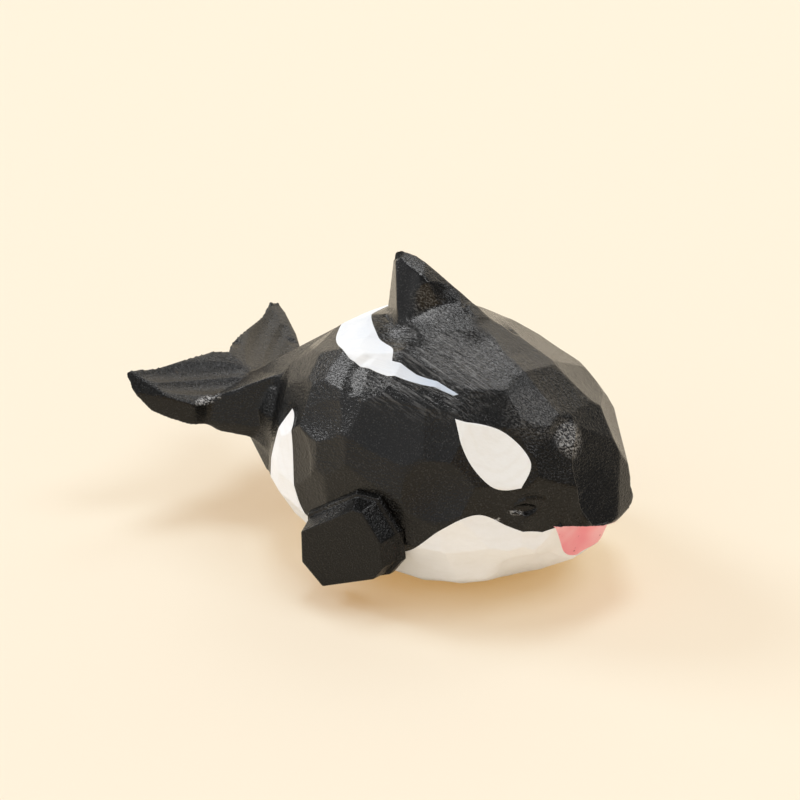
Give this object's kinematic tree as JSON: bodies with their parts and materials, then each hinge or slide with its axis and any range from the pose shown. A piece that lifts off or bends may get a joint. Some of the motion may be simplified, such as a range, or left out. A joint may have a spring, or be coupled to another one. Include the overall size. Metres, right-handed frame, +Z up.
{
  "type": "orca figurine",
  "caption": "Hand-carved, painted wooden orca figurine with knife-cut facets, a tall dorsal fin, raised tail flukes and chunky glued-on flippers.",
  "frame": {"origin": "middle of the flat facet under the belly that the figurine rests on, at shelf level", "axes": "+X towards the snout, along the figurine; +Y towards its left flank; +Z up"},
  "size_m": [0.0926, 0.06, 0.0549],
  "materials": {
    "black_painted_wood": "satin black brushed paint over knife-cut wood",
    "white_paint": "matt white brushed paint on wood",
    "pink_paint": "matt pink brushed paint on wood",
    "bare_dowel": "bare hardwood dowel"
  },
  "bodies": {
    "root": {"carved_body": "black_painted_wood", "flipper_right": "black_painted_wood", "flipper_left": "black_painted_wood", "flipper_peg_right": "bare_dowel", "flipper_peg_left": "bare_dowel", "white_belly": "white_paint", "white_saddle": "white_paint", "eye_patch_right": "white_paint", "eye_patch_left": "white_paint", "mouth_pink": "pink_paint"}
  },
  "joints": []
}
